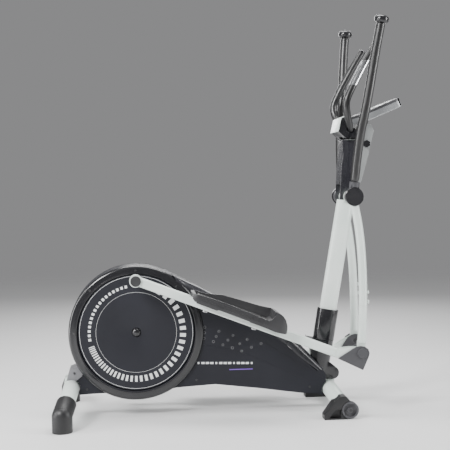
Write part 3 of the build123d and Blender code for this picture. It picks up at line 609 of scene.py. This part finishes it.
def repeat_tree():
    """A template set on every point, facing along the point's own direction."""
    tree, given, made = node_tree("Set On Points", [
        ("Template", "NodeSocketObject", None), ("Size", "NodeSocketFloat", 1.0),
        ("Material", "NodeSocketMaterial", None)])
    info = tree.nodes.new("GeometryNodeObjectInfo")
    facing = tree.nodes.new("GeometryNodeInputNamedAttribute")
    facing.data_type = "FLOAT_VECTOR"
    facing.inputs["Name"].default_value = "facing"
    aim = tree.nodes.new("FunctionNodeAlignRotationToVector")
    aim.axis = "Z"
    lay = tree.nodes.new("GeometryNodeInstanceOnPoints")
    join(tree, (given.outputs["Template"], info.inputs["Object"]),
         (facing.outputs["Attribute"], aim.inputs["Vector"]),
         (given.outputs["Geometry"], lay.inputs["Points"]),
         (info.outputs["Geometry"], lay.inputs["Instance"]),
         (aim.outputs[0], lay.inputs["Rotation"]), (given.outputs["Size"], lay.inputs["Scale"]))
    close_tree(tree, lay.outputs[0], given, made)
    return tree


TREES = {}


def grow(name, tree, values, points=None, facing=None, place=None):
    """Runs a node tree on an object made for it and returns its result as a plain mesh object."""
    mesh = bpy.data.meshes.new(name)
    mesh.from_pydata([tuple(p) for p in (points or [(0, 0, 0)])], [], [])
    if facing is not None:
        layer = mesh.attributes.new("facing", "FLOAT_VECTOR", "POINT")
        for item, direction in zip(layer.data, facing):
            item.vector = direction
    obj = bpy.data.objects.new(name, mesh)
    bpy.context.scene.collection.objects.link(obj)
    modifier = obj.modifiers.new("Repeats", "NODES")
    modifier.node_group = tree
    for socket in tree.interface.items_tree:
        if socket.item_type == "SOCKET" and socket.in_out == "INPUT" and socket.name in values:
            modifier[socket.identifier] = values[socket.name]
    apply_modifiers(obj)
    if place is not None:
        obj.data.transform(place)
        if place.determinant() < 0:
            obj.data.flip_normals()
    if "facing" in obj.data.attributes:
        obj.data.attributes.remove(obj.data.attributes["facing"])
    obj.data.materials.clear()
    obj.data.materials.append(values["Material"])
    for face in obj.data.polygons:
        face.material_index = 0
    return obj


def template(name, profile, steps=10):
    """A small turned shape about Z from (radius, height) pairs, used as a template."""
    bm = bmesh.new()
    rings = [[bm.verts.new((r * math.cos(2 * math.pi * k / steps), r * math.sin(2 * math.pi * k / steps), h))
              for k in range(steps)] for r, h in profile]
    for low, high in zip(rings, rings[1:]):
        for k in range(steps):
            n = (k + 1) % steps
            bm.faces.new((low[k], low[n], high[n], high[k]))
    bmesh.ops.remove_doubles(bm, verts=bm.verts, dist=1e-6)
    bmesh.ops.recalc_face_normals(bm, faces=bm.faces)
    mesh = bpy.data.meshes.new(name)
    bm.to_mesh(mesh)
    bm.free()
    for face in mesh.polygons:
        face.use_smooth = True
    obj = bpy.data.objects.new(name, mesh)
    bpy.context.scene.collection.objects.link(obj)
    return obj


def set_on(name, shape, points, facing, material, body, size=1.0):
    """Sets a template on points and lets the result ride on a body."""
    obj = grow(name, TREES["repeat"], {"Template": shape, "Size": size, "Material": FINISHES[material]},
               points, facing)
    bpy.data.objects.remove(shape)
    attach(obj, body)
    return obj


def top_shroud():
    """The rounded cover over the top of the drive cover, from the drum down to the foot of the mast."""
    foot = [(150, 571), (168, 545), (179, 526), (200, 503), (312, 448), (437, 394), (600, 284), (663, 226),
            (745, 163)]
    ridge = [(150, 572.5), (181, 556.5), (263, 516), (324, 484), (447, 431), (613, 322), (675, 268),
             (742, 197),
             (768, 168)]
    low = curve_points([at(x, 0, z) for x, z in foot], 70)
    high = curve_points([at(x, 0, z) for x, z in ridge], 70)
    bm = bmesh.new()
    rings = []
    for a, b in zip(low, high):
        share = min(max((0.250 - (a.x - CRANK.x)) / 0.1, 0), 1)
        half = 0.0623 + 0.0139 * share * share * (3 - 2 * share)
        rise = b - a
        tall = rise.length
        bend = min(0.8 * tall, 0.030)
        outline = [(half, 0.0), (half, (tall - bend) * 0.5)]
        for k in range(9):
            t = math.radians(k * 11.25)
            outline.append((half - bend + bend * math.cos(t), tall - bend + bend * math.sin(t)))
        outline.append((0.0, tall + 0.0015 * min(tall / 0.03, 1)))
        points = [(y, h) for y, h in outline] + [(-y, h) for y, h in reversed(outline[:-1])]
        up = rise / tall
        rings.append([bm.verts.new(a + up * h + Vector((0, y, 0))) for y, h in points])
    count = len(rings[0])
    for one, two in zip(rings, rings[1:]):
        for k in range(count):
            n = (k + 1) % count
            bm.faces.new((one[k], one[n], two[n], two[k]))
    bm.faces.new(rings[0])
    bm.faces.new(rings[-1])
    cover = mesh_from("top_shroud", bm, "Satin Shroud")
    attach(cover, "frame")
    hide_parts("housing_top_shroud")


# ------------------------------------------------------------------ operators
class TRAINER_OT_finishes(bpy.types.Operator):
    """Makes the shader groups, the finishes and the node trees"""
    bl_idname = "trainer.finishes"
    bl_label = "Finishes"

    def execute(self, context):
        make_finishes()
        TREES["ticks"] = tick_tree()
        TREES["repeat"] = repeat_tree()
        return {"FINISHED"}


class TRAINER_OT_frame(bpy.types.Operator):
    """Paints the tubes, levers, arms and the drive inside"""
    bl_idname = "trainer.frame"
    bl_label = "Frame and Drive"

    def execute(self, context):
        repaint("Pearl Powder Coat", "main_frame", "mast", "stabilisers", "right_lever_lower",
                "left_lever_lower", "right_pedal_arm", "left_pedal_arm")
        repaint("Black Steel", "right_handle", "left_handle", "handlebar", "handlebar_clamp", "crank_set",
                "console_bracket", "housing_screws")
        repaint("Black Steel", "fixed_axles", "right_arm_pins", "left_arm_pins")
        repaint("Zinc Steel", "crank_bearings", "brake_shoe")
        repaint("Turned Iron", "flywheel")
        repaint("Joint Cover Plastic", "drive_pulley", "belt_idler", "brake_motor")
        repaint("Sole Rubber", "drive_belt")
        repaint("Gloss Rim Plastic", "right_lever_caps", "left_lever_caps")
        return {"FINISHED"}


class TRAINER_OT_covers(bpy.types.Operator):
    """Finishes the drive cover, its glossy rims, the boot, the saddle cover and the neck"""
    bl_idname = "trainer.covers"
    bl_label = "Covers"

    def execute(self, context):
        repaint("Anthracite Cover", "housing_right", "housing_left", "housing_top_shroud")
        drum = Vector((CRANK.x, 0, CRANK.z - 0.003))
        profile = [(0.2386, 0.0700), (0.2386, 0.0760), (0.2396, 0.0775), (0.2418, 0.0781), (0.2442, 0.0776),
                   (0.2458, 0.0767)]
        for k in range(10):
            a = math.radians(k * 10)
            profile.append((0.2588 + 0.0139 * math.sin(a), 0.0628 + 0.0139 * math.cos(a)))
        profile += [(0.2727, 0.0580), (0.2700, 0.0600), (0.2560, 0.0690)]
        for side, sign in SIDES.items():
            bm = bmesh.new()
            closed_lathe(bm, profile, drum, sign, 160)
            rim = mesh_from("housing_rim_" + side, bm, "Gloss Rim Plastic")
            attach(rim, "frame")
            vents, faces = [], []
            for col in range(5):
                for row in range(3):
                    x = 278 + col * 57.5 - row * (2 + col * 9.5)
                    z = 356 - col * 18.5 - row * (23 - col * 2.2)
                    vents.append(at(x, sign * 62, z))
                    faces.append((0, sign, 0))
            # The vent lips take a grey lighter than the black panel: a painted highlight for the lit edges of
            # the vent recesses.
            lip = template("vent", [(0.0040, -0.002), (0.0040, 0.0003), (0.0047, 0.0006), (0.0056, 0.0002),
                                    (0.0056, -0.0002)], 16)
            set_on("vent_lips_" + side, lip, vents, faces, "Saddle Grey and Vent Highlight", "frame")
            bm = bmesh.new()
            for n in range(13):
                x = 250 + n * 18.2
                slab(bm, at(x, sign * 62.2, 210 - n * 0.55), (0.0135 if n % 4 else 0.0075, 0.0006, 0.0085))
            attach(mesh_from("panel_marks_" + side, bm, "Marking White", smooth=False), "frame")
            bm = bmesh.new()
            slab(bm, at(424, sign * 62.2, 179), (0.096, 0.0006, 0.0035))
            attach(mesh_from("panel_stripe_" + side, bm, "Violet Mark", smooth=False), "frame")
        top_shroud()
        edge = sizes().edge_round
        rounded("rear_saddle_cover", "saddle_cover", "Saddle Grey and Vent Highlight", edge * 1.6)
        rounded("mast_boot", "boot", "Gloss Rim Plastic", edge * 0.6)
        rounded("head_cover_rear", "neck_rear", "Satin Shroud", edge * 0.4)
        rounded("head_cover_front", "neck_front", "Neck Grey Plastic", edge * 0.5)
        rounded("clamp_cover", "clamp_shell", "Gloss Rim Plastic", edge * 0.4)
        rounded("clamp_panel", "clamp_plate", "Pearl Powder Coat", edge * 0.3)
        rounded("tilt_knob", "star_knob", "Gloss Rim Plastic", edge * 0.5)
        return {"FINISHED"}


class TRAINER_OT_discs(bpy.types.Operator):
    """Builds both crank discs with their rings, domed caps and fading ticks"""
    bl_idname = "trainer.discs"
    bl_label = "Crank Discs"

    def execute(self, context):
        s = sizes()
        for side, sign in SIDES.items():
            r = s.disc_radius
            face = [(0.0, 0.0742), (0.026, 0.0742), (0.030, 0.0750), (0.2300, 0.0750), (0.2306, 0.0745),
                    (r - 0.0014, 0.0745), (r, 0.0734), (r, 0.0640), (r - 0.004, 0.0640), (r - 0.004, 0.0700),
                    (0.0, 0.0700)]
            bm = bmesh.new()
            lathe(bm, face, CRANK, sign, 160)
            disc = mesh_from("disc_" + side, bm, "Anthracite Cover", angle=30)
            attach(disc, "crank")
            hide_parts("crank_discs")
            bm = bmesh.new()
            dome = [(0.0, 0.0848)]
            dome += [(0.0168 * math.sin(math.radians(10 * k)),
                      0.0740 + 0.0108 * math.cos(math.radians(10 * k)))
                     for k in range(1, 10)]
            dome += [(0.0188, 0.0752), (0.0194, 0.0744), (0.0194, 0.0738), (0.0, 0.0738)]
            lathe(bm, dome, CRANK, sign, 48)
            cap = mesh_from("disc_cap_" + side, bm, "Gloss Rim Plastic")
            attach(cap, "crank")
            start, sweep = math.radians(60), math.radians(-223)
            if side == "left":
                start += math.pi
            place = Matrix.Translation(CRANK + Vector((0, sign * 0.0750, 0)))
            ticks = grow("disc_ticks_" + side, TREES["ticks"], {
                "Count": s.tick_count, "Start": start, "Sweep": sweep, "Inner": s.tick_inner,
                "Outer": s.tick_outer,
                "Wide": 0.0175, "Narrow": 0.0034, "Closing": 0.655, "Thick": 0.0005,
                "Material": FINISHES["Marking White"]}, place=place)
            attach(ticks, "crank")
            dashes = grow("disc_dashes_" + side, TREES["ticks"], {
                "Count": 17, "Start": start + math.radians(-232), "Sweep": math.radians(-86), "Inner": 0.1830,
                "Outer": 0.1945, "Wide": 0.0100, "Narrow": 0.0100, "Thick": 0.0005,
                "Material": FINISHES["Marking White"]}, place=place)
            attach(dashes, "crank")
            bm = bmesh.new()
            for inner, outer in ((0.1618, 0.1626), (0.2272, 0.2284)):
                closed_lathe(bm, [(inner, 0.0749), (inner, 0.0752), (outer, 0.0752), (outer, 0.0749)], CRANK,
                             sign, 160)
            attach(mesh_from("disc_lines_" + side, bm, "Marking White", smooth=False), "crank")
        return {"FINISHED"}


class TRAINER_OT_pedals(bpy.types.Operator):
    """Rounds the pedal trays and adds the ribs of the rails and of the footbed mats"""
    bl_idname = "trainer.pedals"
    bl_label = "Pedals"

    def execute(self, context):
        s = sizes()
        for side in SIDES:
            body = side + "_arm"
            m = arm_matrix(side)
            rounded(side + "_pedal", "pedal_tray_" + side, "Pedal Plastic", 0.004, 3)
            rounded(side + "_pedal_mat", "pedal_mat_" + side, "Sole Rubber", 0.0012, 2)
            covers = rounded(side + "_joint_covers", "hinge_covers_" + side, "Joint Cover Plastic", 0.0016, 3)
            pin = m.translation
            second_finish(covers, "Pedal Plastic", lambda p: math.hypot(p.x - pin.x, p.z - pin.z) < 0.03)
            fixings = rounded(side + "_pedal_fixings", "pedal_saddles_" + side, "Pedal Plastic", 0.0008, 2)
            back = m.inverted()
            second_finish(fixings, "Zinc Steel",
                          lambda p: (back @ p).z < -0.0165 - 0.0378 * ((back @ p).x - 0.008))
            stud = template("stud", [(0.0, 0.0016), (0.0022, 0.0015), (0.0032, 0.0006), (0.0034, -0.0006)], 8)
            spots, faces = [], []
            count = int(0.268 / s.rib_pitch)
            up = (m.to_3x3() @ Vector((0.0308, 0, 1))).normalized()
            for i in range(count):
                x = 0.262 + i * s.rib_pitch
                for j in range(9):
                    y = -0.172 + (j - 4) * 0.0135 + (0.0034 if i % 2 else -0.0034)
                    z = 0.0252 - 0.0307 * (x - 0.250)
                    spots.append(m @ Vector((x, y, z)))
                    faces.append(up)
            set_on("mat_studs_" + side, stud, spots, faces, "Sole Rubber", body)
            bm = bmesh.new()
            for y, out in ((-0.248, -1), (-0.096, 1)):
                for k in range(4):
                    z = 0.0250 - k * 0.0052
                    line = [Vector((x / 1000, y + out * 0.0002, z - 0.0376 * (x - 300) / 1000)) for x in
                            range(262, 546, 12)]
                    sleeve(bm, line, lambda t: 0.0011, 8)
            rails = mesh_from("rail_ribs_" + side, bm, "Pedal Plastic")
            rails.data.transform(m)
            if side == "left":
                rails.data.flip_normals()
            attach(rails, body)
        return {"FINISHED"}


class TRAINER_OT_grips(bpy.types.Operator):
    """Builds the foam sleeves of the swing handles and of the fixed handlebar"""
    bl_idname = "trainer.grips"
    bl_label = "Foam Grips"

    def execute(self, context):
        swell = sizes().grip_bump

        def foam(radius):
            def at_share(t):
                end = min(t, 1 - t)
                return radius - 0.0022 * max(0.0, 1 - end / 0.006) ** 2 + swell * math.sin(math.pi * t)
            return at_share

        for side, sign in SIDES.items():
            line = curve_points([on_lever(side, *p) for p in HANDLE_LINE], 150)
            bm = bmesh.new()
            sleeve(bm, line, foam(0.0178), 32)
            grip = mesh_from("swing_grip_" + side, bm, "Grip Foam")
            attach(grip, side + "_lever")
            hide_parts(side + "_grip")
            line = curve_points([at(x, sign * y, z) for x, y, z in BAR_LINE], 160)
            bm = bmesh.new()
            sleeve(bm, [p for p in line if abs(p.y) > 0.080], foam(0.0139), 28)
            grip = mesh_from("bar_grip_" + side, bm, "Grip Foam")
            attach(grip, "frame")
            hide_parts("handlebar_grips")
            tip, before = line[-1], line[-4]
            along = (tip - before).normalized()
            bm = bmesh.new()
            dome = [(0.0141, 0.0), (0.0141, 0.0036), (0.0128, 0.0056), (0.0090, 0.0067), (0.0, 0.0070)]
            steps = [tip - along * 0.001] + [tip + along * h for _, h in dome]
            radii = [0.0141] + [max(r, 0.0004) for r, _ in dome]
            sleeve(bm, steps, lambda t: radii[round(t * (len(radii) - 1))], 28)
            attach(mesh_from("bar_end_" + side, bm, "Gloss Rim Plastic"), "frame")
        repaint("Polished Sensor", "pulse_sensors")
        return {"FINISHED"}


class TRAINER_OT_hubs(bpy.types.Operator):
    """Textures the hub caps of the lever pivot with small raised dots"""
    bl_idname = "trainer.hubs"
    bl_label = "Hub Caps"

    def execute(self, context):
        for side, sign in SIDES.items():
            dots, faces = [], []
            for k in range(130):
                r = 0.0325 * math.sqrt((k + 0.5) / 130)
                a = k * 2.39996
                dots.append(PIVOT + Vector((r * math.cos(a), sign * 0.1410, r * math.sin(a))))
                faces.append((0, sign, 0))
            dot = template("dot", [(0.0, 0.0008), (0.0007, 0.0006), (0.0011, -0.0002)], 8)
            set_on("hub_dots_" + side, dot, dots, faces, "Joint Cover Plastic", side + "_lever")
            lever = merged_copy(side + "_lever_upper", "swing_tube_" + side, "Pearl Powder Coat")
            shade(lever, 40)
            second_finish(lever, "Joint Cover Plastic",
                          lambda p: math.hypot(p.x - PIVOT.x, p.z - PIVOT.z) < 0.0355
                          or p.z > PIVOT.z + 0.012)
            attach(lever, side + "_lever")
            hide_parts(side + "_lever_upper")
        return {"FINISHED"}


class TRAINER_OT_console(bpy.types.Operator):
    """Rounds the console and lays the segments of its display"""
    bl_idname = "trainer.console"
    bl_label = "Console"

    def execute(self, context):
        rounded("console_back", "console_shell", "Console Silver", 0.0012)
        rounded("console_bezel", "console_frame", "Console Plastic", 0.0008)
        repaint("Screen Glass", "console_display")
        for k in (1, 2, 3):
            rounded("console_button_%d" % k, "key_%d" % k, "Sole Rubber", 0.0005)
        m = console_matrix()
        bm = bmesh.new()

        def bar(x, y, w, h):
            corners = [(x - h / 2, y - w / 2), (x + h / 2, y - w / 2), (x + h / 2, y + w / 2),
                       (x - h / 2, y + w / 2)]
            low = [bm.verts.new(m @ Vector((a, b, -0.0006))) for a, b in corners]
            top = [bm.verts.new(m @ Vector((a, b, -0.0003))) for a, b in corners]
            bm.faces.new(top)
            bm.faces.new(low[::-1])
            for i in range(4):
                n = (i + 1) % 4
                bm.faces.new((low[i], low[n], top[n], top[i]))

        lit = {0: "abcdef", 3: "abcdg", 5: "acdfg", 8: "abcdefg"}
        spots = {"a": (0.010, 0, 0.008, 0.0015), "d": (-0.010, 0, 0.008, 0.0015), "g": (0, 0, 0.008, 0.0015),
                 "b": (0.005, -0.005, 0.0015, 0.008), "c": (-0.005, -0.005, 0.0015, 0.008),
                 "f": (0.005, 0.005, 0.0015, 0.008), "e": (-0.005, 0.005, 0.0015, 0.008)}
        for column, digits in ((0.048, (0, 3, 5)), (-0.012, (8, 0, 0))):
            for n, digit in enumerate(digits):
                for letter in lit[digit]:
                    x, y, w, h = spots[letter]
                    bar(0.045 + x, column - n * 0.017 + y, w, h)
        for n in range(16):
            for level in range(1 + (n * 5) % 7):
                bar(-0.010 + level * 0.0045, 0.068 - n * 0.0090, 0.0062, 0.0030)
        segments = mesh_from("display_segments", bm, "Screen Segment", smooth=False)
        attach(segments, "frame")
        return {"FINISHED"}


class TRAINER_OT_feet(bpy.types.Operator):
    """Rounds the feet and the transport wheels"""
    bl_idname = "trainer.feet"
    bl_label = "Feet and Wheels"

    def execute(self, context):
        rounded("feet", "foot_caps", "Sole Rubber", 0.003, 3)
        for side in SIDES:
            rounded("transport_wheel_" + side, "transport_wheel_ring_" + side, "Joint Cover Plastic", 0.001,
                    2)
        return {"FINISHED"}


# Floor in metres: half its side, and the distances between which it fades into the backdrop
FLOOR_REACH = 14.0
FLOOR_SOLID = 1.4
FLOOR_GONE = 9.0
# Camera: place in millimetres from the crank axis, lens in millimetres, yaw, pitch and roll in degrees
CAMERA_PLACE = (-11.2, -4116.6, 929.5)
CAMERA_LENS = 80.2
CAMERA_TURN = (5.32, 2.23, -0.79)


class TRAINER_OT_stage(bpy.types.Operator):
    """Makes the pale floor, the soft lights and the camera"""
    bl_idname = "trainer.stage"
    bl_label = "Stage"

    def execute(self, context):
        scene = context.scene
        bm = bmesh.new()
        bmesh.ops.create_grid(bm, x_segments=8, y_segments=8, size=FLOOR_REACH)
        floor = mesh_from("floor", bm, None, smooth=False)
        mat = bpy.data.materials.new("Studio Floor")
        mat.use_nodes = True
        shader = mat.node_tree.nodes["Principled BSDF"]
        coords = mat.node_tree.nodes.new("ShaderNodeTexCoord")
        cloud = noise(mat.node_tree, coords.outputs["Object"], 1.5, 3)
        tone = mix_colour(mat.node_tree, cloud, (0.74, 0.74, 0.74), (0.78, 0.78, 0.78))
        mat.node_tree.links.new(tone, shader.inputs["Base Color"])
        shader.inputs["Roughness"].default_value = 0.6
        reach = mat.node_tree.nodes.new("ShaderNodeVectorMath")
        reach.operation = "LENGTH"
        mat.node_tree.links.new(coords.outputs["Object"], reach.inputs[0])
        fade = mat.node_tree.nodes.new("ShaderNodeMapRange")
        fade.interpolation_type = "SMOOTHSTEP"
        fade.inputs["From Min"].default_value = FLOOR_SOLID
        fade.inputs["From Max"].default_value = FLOOR_GONE
        fade.inputs["To Min"].default_value = 1.0
        fade.inputs["To Max"].default_value = 0.0
        mat.node_tree.links.new(reach.outputs["Value"], fade.inputs["Value"])
        mat.node_tree.links.new(fade.outputs["Result"], shader.inputs["Alpha"])
        floor.data.materials.append(mat)
        world = bpy.data.worlds.new("Studio")
        scene.world = world
        world.use_nodes = True
        world.node_tree.nodes["Background"].inputs[0].default_value = (0.58, 0.58, 0.59, 1)
        world.node_tree.nodes["Background"].inputs[1].default_value = 0.45

        def soft(name, place, aim, size, power):
            light = bpy.data.lights.new(name, "AREA")
            light.shape = "RECTANGLE"
            light.size, light.size_y = size
            light.energy = power
            lamp = bpy.data.objects.new(name, light)
            lamp.location = place
            lamp.rotation_euler = (Vector(aim) - Vector(place)).to_track_quat("-Z", "Y").to_euler()
            scene.collection.objects.link(lamp)

        soft("key", (-2.4, -2.4, 2.8), (0, 0, 0.6), (1.2, 1.2), 190)
        soft("side", (3.0, -1.2, 1.5), (0.2, 0, 0.8), (0.8, 2.4), 90)
        soft("strip", (-2.8, -0.6, 1.0), (0, 0, 0.7), (0.6, 2.2), 60)
        soft("top", (0.1, 0.2, 3.4), (0.0, 0, 0.5), (2.8, 0.9), 110)
        soft("rear", (0.5, 3.4, 2.2), (0, 0, 0.8), (2.4, 1.6), 60)
        camera = bpy.data.cameras.new("camera")
        camera.lens = CAMERA_LENS
        camera.sensor_width = 36
        yaw, pitch, roll = (math.radians(a) for a in CAMERA_TURN)
        forward = Vector((math.sin(yaw) * math.cos(pitch), math.cos(yaw) * math.cos(pitch), -math.sin(pitch)))
        flat_right = Vector((math.cos(yaw), -math.sin(yaw), 0))
        flat_up = flat_right.cross(forward)
        right = math.cos(roll) * flat_right + math.sin(roll) * flat_up
        up = right.cross(forward)
        body = bpy.data.objects.new("camera", camera)
        turn = Matrix((right, up, -forward)).transposed().to_4x4()
        body.matrix_world = Matrix.Translation(at(*CAMERA_PLACE)) @ turn
        scene.collection.objects.link(body)
        scene.camera = body
        return {"FINISHED"}


class TRAINER_PT_panel(bpy.types.Panel):
    """Sidebar panel with the settings and one button for each step"""
    bl_label = "Elliptical Trainer"
    bl_space_type = "VIEW_3D"
    bl_region_type = "UI"
    bl_category = "Trainer"

    def draw(self, context):
        layout = self.layout
        for group in (context.scene.trainer_paint, context.scene.trainer_sizes):
            for prop in group.bl_rna.properties:
                if prop.identifier not in ("rna_type", "name"):
                    layout.prop(group, prop.identifier)
        for step in STEPS:
            layout.operator(step.bl_idname)


STEPS = (TRAINER_OT_finishes, TRAINER_OT_frame, TRAINER_OT_covers, TRAINER_OT_discs, TRAINER_OT_pedals,
         TRAINER_OT_grips, TRAINER_OT_hubs, TRAINER_OT_console, TRAINER_OT_feet, TRAINER_OT_stage)
CLASSES = (TrainerPaint, TrainerSizes, *STEPS, TRAINER_PT_panel)


def register():
    for cls in CLASSES:
        bpy.utils.register_class(cls)
    bpy.types.Scene.trainer_paint = bpy.props.PointerProperty(type=TrainerPaint)
    bpy.types.Scene.trainer_sizes = bpy.props.PointerProperty(type=TrainerSizes)


def unregister():
    del bpy.types.Scene.trainer_sizes
    del bpy.types.Scene.trainer_paint
    for cls in reversed(CLASSES):
        bpy.utils.unregister_class(cls)


def main():
    register()
    for step in STEPS:
        group, call = step.bl_idname.split(".")
        getattr(getattr(bpy.ops, group), call)()


if __name__ == "__main__":
    main()
